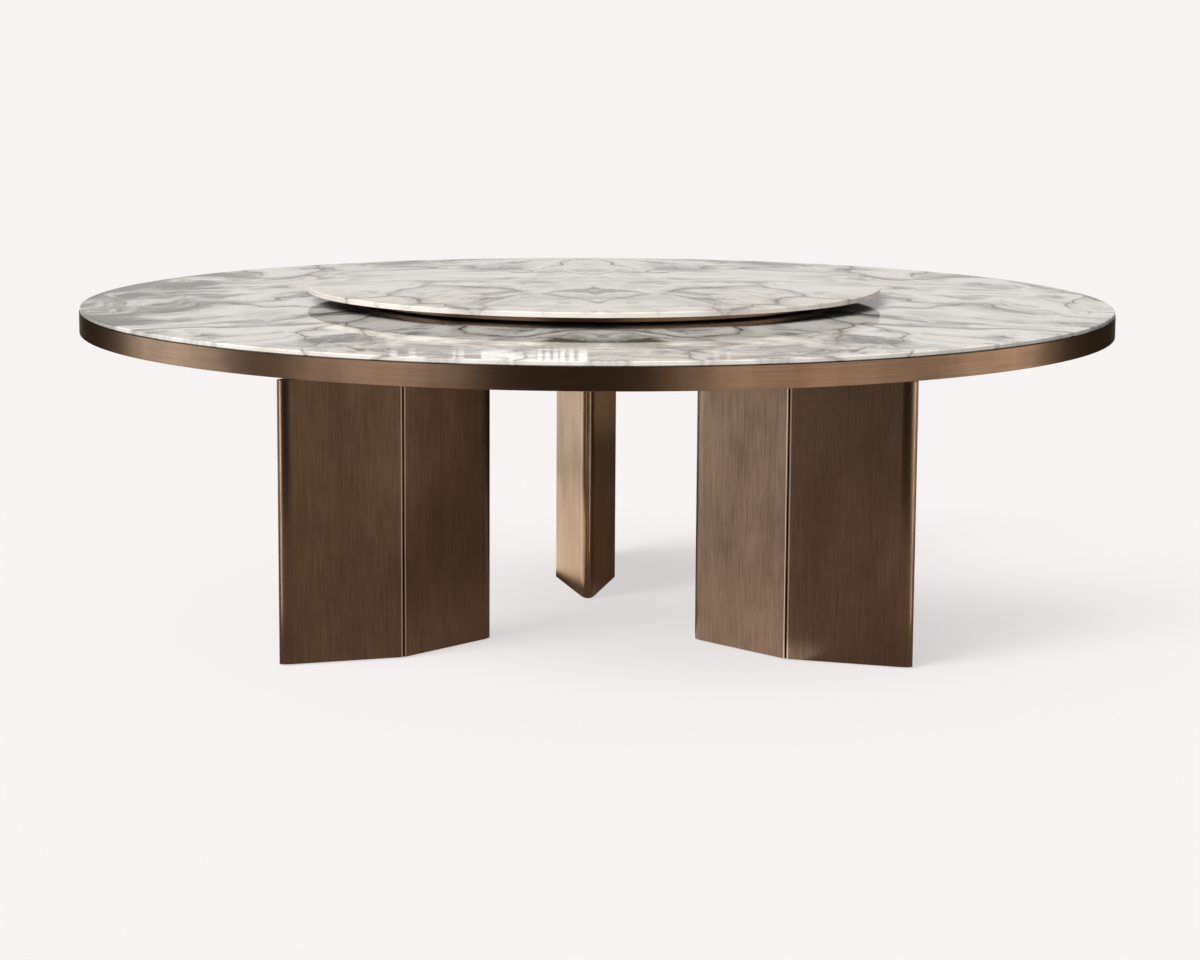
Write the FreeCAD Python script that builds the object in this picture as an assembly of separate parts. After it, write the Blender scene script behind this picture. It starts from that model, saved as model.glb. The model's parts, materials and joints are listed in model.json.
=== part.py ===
"""Round dining table with a marble top, a turntable and three folded bronze legs.

Millimetres, +Z up. The origin is on the floor, on the table's axis. The front is -Y.
"""
import FreeCAD, Part
import math
import os

# Overall sizes
table_diameter = 2300.0
table_height = 755.0
turntable_diameter = 1290.0
overrun = 5.0
match_tolerance = 0.01

# Table top: marble on a core board, with a bronze rim
top_slab_thickness = 10.0
top_slab_setback = 2.0
slab_edge_round = 2.5
slab_under_round = 0.5
rim_height = 45.0
rim_wall = 3.0
rim_lip = 12.0
rim_edge_round = 1.0
core_board_thickness = 25.0
build_up_width = 120.0

# Legs: a kite in plan, clad in two folded shells
leg_outer_reach = 769.0
leg_inner_reach = 281.0
leg_fold_reach = 521.0
leg_half_width = 75.0
leg_nose_radius = 17.0
leg_names = ("back", "front_left", "front_right")
shell_wall = 2.0
shell_floor_gap = 3.0
shell_return = 14.0
shell_edge_round = 1.0
seam_width = 2.0
leg_plate_thickness = 10.0
post_depth = 120.0
post_width = 70.0
post_wall = 5.0
former_thickness = 18.0
former_height_shares = (0.34, 0.67)
glide_diameter = 40.0
glide_thickness = 6.0
glide_edge_round = 1.5
glide_nose_setback = 110.0
glide_side_setback = 34.0

# Hidden steel sub-frame
arm_width = 60.0
arm_height = 80.0
arm_wall = 4.0
arm_setback = 85.0
arm_cap_thickness = 4.0
hub_across_flats = 200.0
hub_wall = 8.0
hub_head_diameter = 340.0
frame_plate_thickness = 10.0
head_plate_length = 200.0
head_plate_width = 150.0
foot_plate_margin = 14.0

# Bolts between the sub-frame and the legs
bolt_diameter = 12.0
bolt_head_across_flats = 18.0
bolt_head_height = 7.5
bolt_spacing = 60.0
bolt_side_gap = 15.0
bolt_tail = 4.0
bolt_clearance = 0.5
thread_clearance = 0.1
hex_sides = 6

# Screws between the sub-frame and the core board
screw_diameter = 6.0
screw_head_diameter = 12.0
screw_head_height = 3.5
screw_grip = 16.0
screw_margin = 22.0
hub_screw_count = 3
screw_clearance = 0.1

# Turntable: marble disc, board, bronze skirt
turntable_slab_thickness = 11.0
turntable_board_thickness = 12.0
skirt_diameter = 1060.0
skirt_wall = 3.0
skirt_floor_gap = 2.5

# Ball bearing between the table and the turntable
bearing_pitch_diameter = 700.0
race_width = 50.0
race_thickness = 4.5
race_spacing = 2.0
ball_count = 24
ball_diameter = 6.0
ball_clearance = 0.3
cage_width = 20.0
cage_thickness = 1.2
pad_diameter = 24.0
pad_thickness = 2.0
pad_count = 8
race_screw_count = 8
race_screw_diameter = 4.0
race_screw_head_diameter = 8.0
race_screw_head_height = 2.4
race_screw_grip = 8.0
race_screw_inset = 8.0

# Levels worked out from the sizes above
half = 0.5
rim_radius = table_diameter * half
slab_floor = table_height - top_slab_thickness
core_floor = slab_floor - core_board_thickness
rim_floor = slab_floor - rim_height
core_radius = rim_radius - rim_wall
head_plate_floor = core_floor - frame_plate_thickness
arm_floor = head_plate_floor - arm_height
arm_reach = leg_outer_reach - arm_setback
leg_height = arm_floor - frame_plate_thickness
lower_race_floor = table_height + pad_thickness
lower_race_top = lower_race_floor + race_thickness
upper_race_floor = lower_race_top + race_spacing
turntable_board_floor = upper_race_floor + race_thickness
turntable_slab_floor = turntable_board_floor + turntable_board_thickness
skirt_radius = skirt_diameter * half
skirt_floor = table_height + skirt_floor_gap
pitch_radius = bearing_pitch_diameter * half
ball_level = (lower_race_top + upper_race_floor) * half

# Directions and turns
up = FreeCAD.Vector(0, 0, 1)
origin = FreeCAD.Vector(0, 0, 0)
quarter_turn = 90.0
half_turn = 180.0
full_turn = 360.0
leg_azimuths = {name: quarter_turn + i * full_turn / len(leg_names) for i, name in enumerate(leg_names)}


def point(x, y, z):
    return FreeCAD.Vector(x, y, z)


def write(name, shape):
    """Save one piece, or one group of like pieces, under its own name."""
    shape.exportStep(os.path.join("parts", name + ".step"))


def cylinder(radius, floor, height, x=0.0, y=0.0):
    return Part.makeCylinder(radius, height, point(x, y, floor))


def block(x_low, x_high, y_half, floor, height):
    """A box that is centred on the radial line of a leg or an arm."""
    return Part.makeBox(x_high - x_low, y_half + y_half, height, point(x_low, -y_half, floor))


def hexagon(across_flats, floor, height, x=0.0, y=0.0):
    """A six-sided prism with a flat facing +X."""
    corner = across_flats * half / math.cos(math.pi / hex_sides)
    turns = [(i + half) * math.tau / hex_sides for i in range(hex_sides + 1)]
    ring = [point(x + corner * math.cos(a), y + corner * math.sin(a), floor) for a in turns]
    return Part.Face(Part.makePolygon(ring)).extrude(up * height)


def turned(shape, azimuth):
    """A copy of a piece made along +X, swung round the table's axis."""
    copy = shape.copy()
    copy.rotate(origin, up, azimuth)
    return copy


def rounded_outline(corners):
    """A closed wire through (point, radius) corners, with a tangent arc at each rounded one."""
    edges = []
    last_end = None
    first_start = None
    for i, (corner, radius) in enumerate(corners):
        before = (corners[i - 1][0] - corner).normalize()
        after = (corners[(i + 1) % len(corners)][0] - corner).normalize()
        half_angle = before.getAngle(after) * half
        run = radius / math.tan(half_angle)
        start = corner + before * run
        end = corner + after * run
        if last_end is not None:
            edges.append(Part.makeLine(last_end, start))
        if radius > 0:
            bisector = (before + after).normalize()
            middle = corner + bisector * (radius / math.sin(half_angle) - radius)
            edges.append(Part.Arc(start, middle, end).toShape())
        if i == 0:
            first_start = start
        last_end = end
    edges.append(Part.makeLine(last_end, first_start))
    return Part.Wire(edges)


def revolved(corners, start=0.0, sweep=full_turn):
    """A solid of revolution from (radius, height, round) corners of its section."""
    wire = rounded_outline([(point(r, 0, z), rounding) for r, z, rounding in corners])
    solid = Part.Face(wire).revolve(origin, up, sweep)
    solid.rotate(origin, up, start)
    return solid


def half_slab(radius, floor, thickness, start):
    """Half of a round marble slab with its upper and lower edges eased."""
    top = floor + thickness
    section = [(0, floor, 0), (radius, floor, slab_under_round), (radius, top, slab_edge_round), (0, top, 0)]
    return revolved(section, start, half_turn)


def round_table(radius, count, azimuth=0.0):
    """Places spaced evenly round a circle."""
    turns = [math.radians(azimuth) + i * math.tau / count for i in range(count)]
    return [(radius * math.cos(a), radius * math.sin(a)) for a in turns]


# Table top


def top_slabs():
    radius = rim_radius - top_slab_setback
    write("top_slab_right", half_slab(radius, slab_floor, top_slab_thickness, -quarter_turn))
    write("top_slab_left", half_slab(radius, slab_floor, top_slab_thickness, quarter_turn))


def rim_band():
    inner = rim_radius - rim_wall
    lip_inner = inner - rim_lip
    lip_top = rim_floor + rim_wall
    section = [
        (lip_inner, rim_floor, 0),
        (rim_radius, rim_floor, rim_edge_round),
        (rim_radius, slab_floor, rim_edge_round),
        (inner, slab_floor, 0),
        (inner, lip_top, 0),
        (lip_inner, lip_top, 0),
    ]
    write("rim_band", revolved(section))


def edge_build_up():
    floor = rim_floor + rim_wall
    height = core_floor - floor
    ring = cylinder(core_radius, floor, height).cut(cylinder(core_radius - build_up_width, floor, height))
    write("edge_build_up", ring)


def core_boards():
    section = [(0, core_floor, 0), (core_radius, core_floor, 0), (core_radius, slab_floor, 0), (0, slab_floor, 0)]
    holes = [
        cylinder(screw_diameter * half + screw_clearance, core_floor, screw_grip, x, y)
        for x, y in screw_places()
    ]
    for name, start in (("core_board_back", 0.0), ("core_board_front", half_turn)):
        write(name, revolved(section, start, half_turn).cut(holes))


# Sub-frame


def head_plate_middle():
    """Radius of the middle of an arm's head plate, which ends flush with the arm."""
    return arm_reach - head_plate_length * half


def head_plate_screws():
    """Screw places on the head plate of an arm along +X."""
    reach = head_plate_length * half - screw_margin
    side = head_plate_width * half - screw_margin
    return [(head_plate_middle() + i * reach, j * side) for i in (-1, 1) for j in (-1, 1)]


def hub_screws():
    """Screw places on the hub's head plate, between the arms."""
    radius = hub_head_diameter * half - screw_margin
    return round_table(radius, hub_screw_count, leg_azimuths["back"] + half_turn / hub_screw_count)


def screw_places():
    places = hub_screws()
    for azimuth in leg_azimuths.values():
        c, s = math.cos(math.radians(azimuth)), math.sin(math.radians(azimuth))
        places += [(x * c - y * s, x * s + y * c) for x, y in head_plate_screws()]
    return places


def drilled(plate, places, radius):
    """A frame plate with round holes through it."""
    floor = plate.BoundBox.ZMin - overrun
    height = plate.BoundBox.ZLength + overrun + overrun
    return plate.cut([cylinder(radius, floor, height, x, y) for x, y in places])


def hub():
    """Six-sided hub tube with a flat towards each arm, closed by a plate above and below."""
    tube = hexagon(hub_across_flats, arm_floor, arm_height)
    bore = hexagon(hub_across_flats - hub_wall - hub_wall, arm_floor, arm_height)
    facing = leg_azimuths["back"]
    write("hub_tube", turned(tube.cut(bore), facing))
    write("hub_base_plate", turned(hexagon(hub_across_flats, leg_height, frame_plate_thickness), facing))
    head = cylinder(hub_head_diameter * half, head_plate_floor, frame_plate_thickness)
    write("hub_head_plate", drilled(head, hub_screws(), screw_diameter * half + bolt_clearance))


def arm():
    """Box-section arm from the hub's flat to its end cap."""
    start = hub_across_flats * half
    end = arm_reach - arm_cap_thickness
    tube = block(start, end, arm_width * half, arm_floor, arm_height)
    inner_height = arm_height - arm_wall - arm_wall
    bore = block(start, end, arm_width * half - arm_wall, arm_floor + arm_wall, inner_height)
    return tube.cut(bore)


def arm_end_cap():
    return block(arm_reach - arm_cap_thickness, arm_reach, arm_width * half, arm_floor, arm_height)


def head_plate():
    start = arm_reach - head_plate_length
    plate = block(start, arm_reach, head_plate_width * half, head_plate_floor, frame_plate_thickness)
    return drilled(plate, head_plate_screws(), screw_diameter * half + bolt_clearance)


def bolt_places():
    """Bolt places beside an arm along +X, above the leg's fold."""
    side = arm_width * half + bolt_side_gap
    reach = bolt_spacing * half
    return [(leg_fold_reach + i * reach, j * side) for i in (-1, 1) for j in (-1, 1)]


def foot_plate():
    """Plate under an arm, round its bolts, on the leg's top plate."""
    reach = bolt_spacing * half + foot_plate_margin
    side = arm_width * half + bolt_side_gap + foot_plate_margin
    plate = block(leg_fold_reach - reach, leg_fold_reach + reach, side, leg_height, frame_plate_thickness)
    return drilled(plate, bolt_places(), bolt_diameter * half + bolt_clearance)


def leg_bolt(x, y):
    """Hex bolt through the foot plate into the leg's top plate."""
    shank_length = frame_plate_thickness + leg_plate_thickness + bolt_tail
    head = hexagon(bolt_head_across_flats, arm_floor, bolt_head_height, x, y)
    shank = cylinder(bolt_diameter * half, arm_floor - shank_length, shank_length, x, y)
    return head.fuse(shank).removeSplitter()


def top_screw(x, y):
    """Pan-head screw from under a head plate into the core board."""
    head = cylinder(screw_head_diameter * half, head_plate_floor - screw_head_height, screw_head_height, x, y)
    shank = cylinder(screw_diameter * half, head_plate_floor, frame_plate_thickness + screw_grip, x, y)
    return head.fuse(shank).removeSplitter()


def sub_frame():
    hub()
    caps, bolts = [], []
    for side, azimuth in leg_azimuths.items():
        write(side + "_arm", turned(arm(), azimuth))
        write(side + "_head_plate", turned(head_plate(), azimuth))
        write(side + "_foot_plate", turned(foot_plate(), azimuth))
        caps.append(turned(arm_end_cap(), azimuth))
        bolts += [turned(leg_bolt(x, y), azimuth) for x, y in bolt_places()]
    write("arm_end_caps", Part.makeCompound(caps))
    write("leg_bolts", Part.makeCompound(bolts))
    write("top_screws", Part.makeCompound([top_screw(x, y) for x, y in screw_places()]))


# Legs, made along +X and swung into place


def apex(nose_centre):
    """Where the two faces that are tangent to a nose would meet, as a distance from the fold."""
    run = abs(nose_centre - leg_fold_reach)
    reach = math.hypot(run, leg_half_width)
    slope = math.atan2(leg_half_width, run) - math.asin(leg_nose_radius / reach)
    return leg_half_width / math.tan(slope)


def leg_outline(inset=0.0):
    """The kite in plan, with its two noses rounded, drawn in by an inset."""
    outer = leg_fold_reach + apex(leg_outer_reach - leg_nose_radius)
    inner = leg_fold_reach - apex(leg_inner_reach + leg_nose_radius)
    wire = rounded_outline([
        (point(outer, 0, 0), leg_nose_radius),
        (point(leg_fold_reach, leg_half_width, 0), 0),
        (point(inner, 0, 0), leg_nose_radius),
        (point(leg_fold_reach, -leg_half_width, 0), 0),
    ])
    face = Part.Face(wire)
    return face.makeOffset2D(-inset) if inset else face


def leg_prism(inset, floor, height):
    prism = leg_outline(inset).extrude(up * height)
    prism.translate(up * floor)
    return prism


def seam_strips(half_gap, floor, height):
    """Two upright strips at the side folds, as deep as the shells' returned edges."""
    strip = block(leg_fold_reach - half_gap, leg_fold_reach + half_gap, leg_half_width + overrun, floor, height)
    depth = leg_half_width - shell_return
    return strip.cut(block(leg_fold_reach - half_gap, leg_fold_reach + half_gap, depth, floor, height))


def is_seam_edge(edge):
    """True for an upright edge where a shell's outer face turns into its joint."""
    box = edge.BoundBox
    upright = box.ZLength > leg_height * half
    at_joint = abs(abs(box.XMin - leg_fold_reach) - seam_width * half) < match_tolerance
    return upright and at_joint and abs(box.YMin) > leg_half_width - shell_wall * half


def shells():
    """The outer and the inner shell: sheet folded round a nose, its edges returned at the folds."""
    height = leg_height - shell_floor_gap
    full = leg_prism(0.0, shell_floor_gap, height)
    skin = full.cut(leg_prism(shell_wall, shell_floor_gap, height))
    returns = seam_strips(seam_width * half + shell_wall, shell_floor_gap, height).common(full)
    joint = block(leg_fold_reach - seam_width * half, leg_fold_reach + seam_width * half,
                  leg_half_width + overrun, shell_floor_gap, height)
    pair = skin.fuse(returns).cut(joint).removeSplitter().Solids
    pair.sort(key=lambda solid: solid.CenterOfMass.x)
    inner, outer = [s.makeFillet(shell_edge_round, [e for e in s.Edges if is_seam_edge(e)]) for s in pair]
    return outer, inner


def leg_plate(floor, thickness):
    """A plate or board that fills the shells in plan, notched for their returned edges."""
    strips = seam_strips(seam_width * half + shell_wall, floor, thickness)
    return leg_prism(shell_wall, floor, thickness).cut(strips)


def leg_post():
    floor = glide_thickness + leg_plate_thickness
    height = leg_height - leg_plate_thickness - floor
    start, end = leg_fold_reach - post_depth * half, leg_fold_reach + post_depth * half
    tube = block(start, end, post_width * half, floor, height)
    return tube.cut(block(start + post_wall, end - post_wall, post_width * half - post_wall, floor, height))


def formers():
    """Two boards round the post that back the shells between the plates."""
    start, end = leg_fold_reach - post_depth * half, leg_fold_reach + post_depth * half
    boards = []
    for share in former_height_shares:
        floor = leg_height * share
        hole = block(start, end, post_width * half, floor, former_thickness)
        boards.append(leg_plate(floor, former_thickness).cut(hole))
    return boards


def glides():
    """Four round glides under the base plate: one near each nose and one by each fold."""
    radius = glide_diameter * half
    section = [(0, 0, 0), (radius, 0, glide_edge_round), (radius, glide_thickness, 0), (0, glide_thickness, 0)]
    side = leg_half_width - glide_side_setback
    places = [
        (leg_outer_reach - glide_nose_setback, 0),
        (leg_inner_reach + glide_nose_setback, 0),
        (leg_fold_reach, -side),
        (leg_fold_reach, side),
    ]
    pads = []
    for x, y in places:
        pad = revolved(section)
        pad.translate(point(x, y, 0))
        pads.append(pad)
    return pads


def legs():
    outer_shell, inner_shell = shells()
    top_plate = leg_plate(leg_height - leg_plate_thickness, leg_plate_thickness)
    pieces = {
        "outer_shell": outer_shell,
        "inner_shell": inner_shell,
        "top_plate": drilled(top_plate, bolt_places(), bolt_diameter * half + thread_clearance),
        "base_plate": leg_plate(glide_thickness, leg_plate_thickness),
        "post": leg_post(),
        "formers": Part.makeCompound(formers()),
        "glides": Part.makeCompound(glides()),
    }
    for side, azimuth in leg_azimuths.items():
        for name, shape in pieces.items():
            write(side + "_" + name, turned(shape, azimuth))


# Turntable and its ball bearing


def ball_track():
    """Ring of round section that grooves both races, a little larger than the balls."""
    return Part.makeTorus(pitch_radius, ball_diameter * half + ball_clearance, point(0, 0, ball_level))


def race(floor):
    width = race_width * half
    ring = cylinder(pitch_radius + width, floor, race_thickness)
    return ring.cut(cylinder(pitch_radius - width, floor, race_thickness)).cut(ball_track())


def race_screw_places():
    return round_table(pitch_radius + race_width * half - race_screw_inset, race_screw_count)


def race_screw(x, y, clearance=0.0):
    """Countersunk screw that lies flush in the upper race and holds it to the board."""
    shank = race_screw_diameter * half + clearance
    head = race_screw_head_diameter * half + clearance
    cone = Part.makeCone(head, shank, race_screw_head_height, point(x, y, upper_race_floor))
    rod = cylinder(shank, upper_race_floor, race_thickness + race_screw_grip, x, y)
    return cone.fuse(rod).removeSplitter()


def bearing():
    write("lower_race", race(lower_race_floor))
    sunk = [race_screw(x, y, screw_clearance) for x, y in race_screw_places()]
    write("upper_race", race(upper_race_floor).cut(sunk))
    write("race_screws", Part.makeCompound([race_screw(x, y) for x, y in race_screw_places()]))
    pads = [cylinder(pad_diameter * half, table_height, pad_thickness, x, y)
            for x, y in round_table(pitch_radius, pad_count)]
    write("bearing_pads", Part.makeCompound(pads))


def ball_cage():
    """Thin ring between the races with a pocket for each ball."""
    floor = ball_level - cage_thickness * half
    places = round_table(pitch_radius, ball_count)
    ring = cylinder(pitch_radius + cage_width * half, floor, cage_thickness)
    ring = ring.cut(cylinder(pitch_radius - cage_width * half, floor, cage_thickness))
    write("ball_cage", drilled(ring, places, ball_diameter * half + ball_clearance))
    balls = [Part.makeSphere(ball_diameter * half, point(x, y, ball_level)) for x, y in places]
    write("bearing_balls", Part.makeCompound(balls))


def turntable():
    radius = turntable_diameter * half
    write("turntable_slab_right",
          half_slab(radius, turntable_slab_floor, turntable_slab_thickness, -quarter_turn))
    write("turntable_slab_left",
          half_slab(radius, turntable_slab_floor, turntable_slab_thickness, quarter_turn))
    inner = skirt_radius - skirt_wall
    height = turntable_slab_floor - skirt_floor
    write("turntable_skirt", cylinder(skirt_radius, skirt_floor, height).cut(cylinder(inner, skirt_floor, height)))
    board = cylinder(inner, turntable_board_floor, turntable_board_thickness)
    sunk = [race_screw(x, y, screw_clearance) for x, y in race_screw_places()]
    write("turntable_board", board.cut(sunk))


os.makedirs("parts", exist_ok=True)
top_slabs()
rim_band()
edge_build_up()
core_boards()
sub_frame()
legs()
bearing()
ball_cage()
turntable()
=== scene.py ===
# %% [markdown]
# # A round dining table with a turning centre
# The table stands on three folded bronze legs. A bronze rim holds a polished
# marble top, and a smaller marble disc turns on a ball bearing in the middle.
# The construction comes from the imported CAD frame, in metres, and stays where it
# is. This lesson models the pieces that the eye rests on again, with smooth curves
# and eased edges, and gives every surface its finish.

# %% Load the frame
import json
import math

import bmesh
import bpy
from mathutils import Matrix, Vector

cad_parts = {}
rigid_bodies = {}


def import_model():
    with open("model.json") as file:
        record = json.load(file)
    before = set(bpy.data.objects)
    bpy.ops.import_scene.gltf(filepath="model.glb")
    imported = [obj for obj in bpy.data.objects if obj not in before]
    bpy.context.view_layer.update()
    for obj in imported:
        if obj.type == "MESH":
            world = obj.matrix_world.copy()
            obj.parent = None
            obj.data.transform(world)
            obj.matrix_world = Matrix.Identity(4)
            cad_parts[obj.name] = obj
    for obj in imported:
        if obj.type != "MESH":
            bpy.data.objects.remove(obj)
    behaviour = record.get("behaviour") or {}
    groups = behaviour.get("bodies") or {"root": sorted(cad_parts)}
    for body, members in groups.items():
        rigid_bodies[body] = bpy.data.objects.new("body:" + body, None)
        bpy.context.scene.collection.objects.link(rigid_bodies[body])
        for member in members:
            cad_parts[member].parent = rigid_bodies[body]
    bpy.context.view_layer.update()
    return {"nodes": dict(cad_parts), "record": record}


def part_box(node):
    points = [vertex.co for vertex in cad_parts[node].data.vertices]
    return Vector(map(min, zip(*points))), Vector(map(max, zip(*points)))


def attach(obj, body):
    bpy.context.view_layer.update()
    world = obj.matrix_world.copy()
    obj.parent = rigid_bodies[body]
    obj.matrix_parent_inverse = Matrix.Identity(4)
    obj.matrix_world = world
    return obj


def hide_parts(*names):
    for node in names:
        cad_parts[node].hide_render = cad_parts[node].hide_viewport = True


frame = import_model()

# %% [markdown]
# ## Tools for modelling by hand
# Each piece starts from a primitive and is shaped in edit mode. An operator acts on
# all that is selected, so every piece starts with an empty selection, and its
# vertices, edges or faces are then picked by their place. Putting the primitive's
# place into its mesh at once keeps the object at the origin, so that patterns on
# Object coordinates stay where they belong.

# %% Begin a piece and pick its parts
def clear_hands():
    """Leave edit mode and deselect everything."""
    if bpy.context.mode != "OBJECT":
        bpy.ops.object.mode_set(mode="OBJECT")
    bpy.ops.object.select_all(action="DESELECT")


def begin_edit():
    """Put the new primitive's place into its mesh and open it for editing."""
    bpy.ops.object.transform_apply(location=True, rotation=True, scale=True)
    bpy.ops.object.mode_set(mode="EDIT")
    bpy.ops.mesh.select_all(action="SELECT")


def middle(item):
    """The middle of a vertex, an edge or a face."""
    corners = [item] if isinstance(item, bmesh.types.BMVert) else item.verts
    return sum((corner.co for corner in corners), start=corners[0].co * 0) / len(corners)


def pick(kind, test):
    """In edit mode, select the VERT, EDGE or FACE items that pass a test."""
    bpy.ops.mesh.select_mode(type=kind)
    bpy.ops.mesh.select_all(action="DESELECT")
    mesh = bmesh.from_edit_mesh(bpy.context.object.data)
    items = {"VERT": mesh.verts, "EDGE": mesh.edges, "FACE": mesh.faces}[kind]
    for item in items:
        if test(item):
            item.select_set(True)
    mesh.select_flush_mode()
    bmesh.update_edit_mesh(bpy.context.object.data)


print("ready to begin pieces in", bpy.context.mode, "mode")

# %% Apply a modifier
def apply_modifier(name, kind, **options):
    """Add a modifier to the piece in hand, set its options and apply it."""
    if bpy.context.mode != "OBJECT":
        bpy.ops.object.mode_set(mode="OBJECT")
    modifier = bpy.context.object.modifiers.new(name, kind)
    for option, value in options.items():
        setattr(modifier, option, value)
    bpy.ops.object.modifier_apply(modifier=name)


print("modifiers are applied as soon as they are set")

# %% [markdown]
# ## Finishing a piece
# A finished piece is shaded smooth over its curves and sharp at its corners. The
# weighted normals let a large flat face keep its own direction right up to a small
# round, which a mirror polish needs. The piece then takes its material, rides on its
# CAD body and stands for its CAD node.

# %% Close a piece and hand it to the frame
smooth_angle = math.radians(35)
merge_distance = 1e-6


def close_piece(name, finish):
    """Merge, turn normals outwards, shade and name the piece in hand."""
    if bpy.context.mode != "EDIT":
        bpy.ops.object.mode_set(mode="EDIT")
    bpy.ops.mesh.select_all(action="SELECT")
    bpy.ops.mesh.remove_doubles(threshold=merge_distance)
    bpy.ops.mesh.normals_make_consistent(inside=False)
    bpy.ops.object.mode_set(mode="OBJECT")
    bpy.ops.object.shade_smooth_by_angle(angle=smooth_angle)
    apply_modifier("even_shading", "WEIGHTED_NORMAL", keep_sharp=True)
    piece = bpy.context.object
    piece.name = piece.data.name = name
    piece.data.materials.clear()
    piece.data.materials.append(finish)
    return piece


def hand_over(piece, node):
    """Ride the piece on its node's body and let it stand for the node."""
    bodies = frame["record"]["behaviour"]["bodies"]
    body = next(body for body, members in bodies.items() if node in members)
    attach(piece, body)
    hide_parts(node)
    print(f"{piece.name}: {len(piece.data.polygons)} faces, rides on {body}")


print("bodies to ride on:", ", ".join(frame["record"]["behaviour"]["bodies"]))

# %% [markdown]
# ## Tools for finishes
# A material is a small tree of nodes. These helpers add a node, set its options and
# link or fill its sockets, so that each finish below reads as a short recipe. Colours
# are written as the eye sees them, from 0 to 255, and turned into the linear values
# that the shader works with.

# %% Colours
def tint(red, green, blue):
    """A linear colour from one written in screen values."""
    def linear(value):
        share = value / 255
        return share / 12.92 if share <= 0.04045 else ((share + 0.055) / 1.055) ** 2.4
    return (linear(red), linear(green), linear(blue), 1.0)


print("middle grey is", round(tint(128, 128, 128)[0], 3), "in linear light")

# %% Nodes, links and places
class Recipe:
    """A node tree under construction."""

    def __init__(self, tree):
        self.tree = tree

    def feed(self, socket, value):
        """Link a node's output to a socket, or set a plain value on it."""
        if isinstance(value, bpy.types.NodeSocket):
            self.tree.links.new(value, socket)
        else:
            socket.default_value = value

    def node(self, kind, inputs=None, **options):
        """A new node with its options set and its inputs fed."""
        made = self.tree.nodes.new("ShaderNode" + kind)
        for option, value in options.items():
            setattr(made, option, value)
        for key, value in (inputs or {}).items():
            self.feed(made.inputs[key], value)
        return made

    def split(self, vector):
        """The x, y and z of a vector."""
        return tuple(self.node("SeparateXYZ", {0: vector}).outputs)

    def join(self, x=0.0, y=0.0, z=0.0):
        """A vector from its x, y and z."""
        return self.node("CombineXYZ", {0: x, 1: y, 2: z}).outputs[0]

    def place(self):
        """The surface's own Object coordinates."""
        return self.node("TexCoord").outputs["Object"]

    def upward(self, normal="Normal"):
        """How far the surface faces up, from -1 to 1."""
        return self.split(self.node("NewGeometry").outputs[normal])[2]


print("nodes are added by", Recipe.__name__)

# %% Patterns, sums and mixes
class Pattern(Recipe):
    """A recipe that also knows sums, noise and mixes."""

    def math(self, operation, first, second=0.0):
        return self.node("Math", {0: first, 1: second}, operation=operation).outputs[0]

    def vector(self, operation, first, second):
        return self.node("VectorMath", {0: first, 1: second}, operation=operation).outputs[0]

    def stretch(self, vector, scale):
        return self.node("Mapping", {"Vector": vector, "Scale": scale}).outputs[0]

    def from_axis(self):
        """The place seen in plan, and its distance from the table's upright axis."""
        x, y = self.split(self.place())[:2]
        flat = self.join(x, y)
        return flat, self.node("VectorMath", {0: flat}, operation="LENGTH").outputs[1]

    def noise(self, vector, scale, detail=4.0, roughness=0.55, output=0):
        """Noise as a value, or as a colour with output 1."""
        inputs = {"Vector": vector, "Scale": scale, "Detail": detail, "Roughness": roughness}
        return self.node("TexNoise", inputs).outputs[output]

    def rise(self, value, low, high):
        """A straight rise from 0 to 1 between two values."""
        return self.node("MapRange", {0: value, 1: low, 2: high}).outputs[0]

    def grade(self, value, low, high, to_low=0.0, to_high=1.0):
        """Bring a range of values smoothly to another range."""
        inputs = {0: value, 1: low, 2: high, 3: to_low, 4: to_high}
        return self.node("MapRange", inputs, interpolation_type="SMOOTHSTEP").outputs[0]

    def mix(self, share, first, second):
        """A colour between two, by a share."""
        return self.node("Mix", {0: share, 6: first, 7: second}, data_type="RGBA").outputs[2]

    def blend(self, share, first, second):
        """A shader between two, by a share."""
        return self.node("MixShader", {0: share, 1: first, 2: second}).outputs[0]

    def bump(self, height, strength, distance):
        inputs = {"Strength": strength, "Distance": distance, "Height": height}
        return self.node("Bump", inputs).outputs[0]


print("patterns are added by", Pattern.__name__)

# %% A finish with its shader at hand
class Finish(Pattern):
    """A material under construction."""

    def __init__(self, name):
        self.material = bpy.data.materials.new(name)
        self.material.use_nodes = True
        super().__init__(self.material.node_tree)
        self.shader = self.tree.nodes["Principled BSDF"]

    def surface(self, **sockets):
        """Set the shader's sockets by name, with spaces written as underscores."""
        for name, value in sockets.items():
            self.feed(self.shader.inputs[name.replace("_", " ")], value)
        print("finish", self.material.name, "has", len(self.tree.nodes), "nodes")
        return self.material


print("finishes are made by", Finish.__name__)

# %% [markdown]
# ## Polished marble, bookmatched
# The top is cut from two slabs that were neighbours in the block and opened like a
# book, so the veins of one half mirror those of the other. Taking the size of x
# before anything else gives that mirror at the seam for free. The stone was once
# broken into blocks and healed, so a cell pattern gives each block a shade of its own
# and the distance to its edge. Every pattern is read at a place that noise has bent,
# first widely, then finely, which draws straight cells out into natural shapes.

# %% Colours of the stone and places in its block
marble_white = tint(243, 239, 232)
marble_cream = tint(239, 231, 219)
marble_smoke = tint(97, 92, 82)
marble_taupe = tint(121, 104, 85)
marble_vein = tint(58, 47, 39)
# Painted light: the upright edges of the stone are mixed towards this even pale grey.
painted_edge_light = tint(206, 203, 198)
# Painted shade: the underside of the stone is mixed towards this dark colour.
painted_underside_shade = tint(46, 43, 39)
slab_turn = 0.5
slab_stretch = (1.0, 0.75, 1.0)


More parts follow.
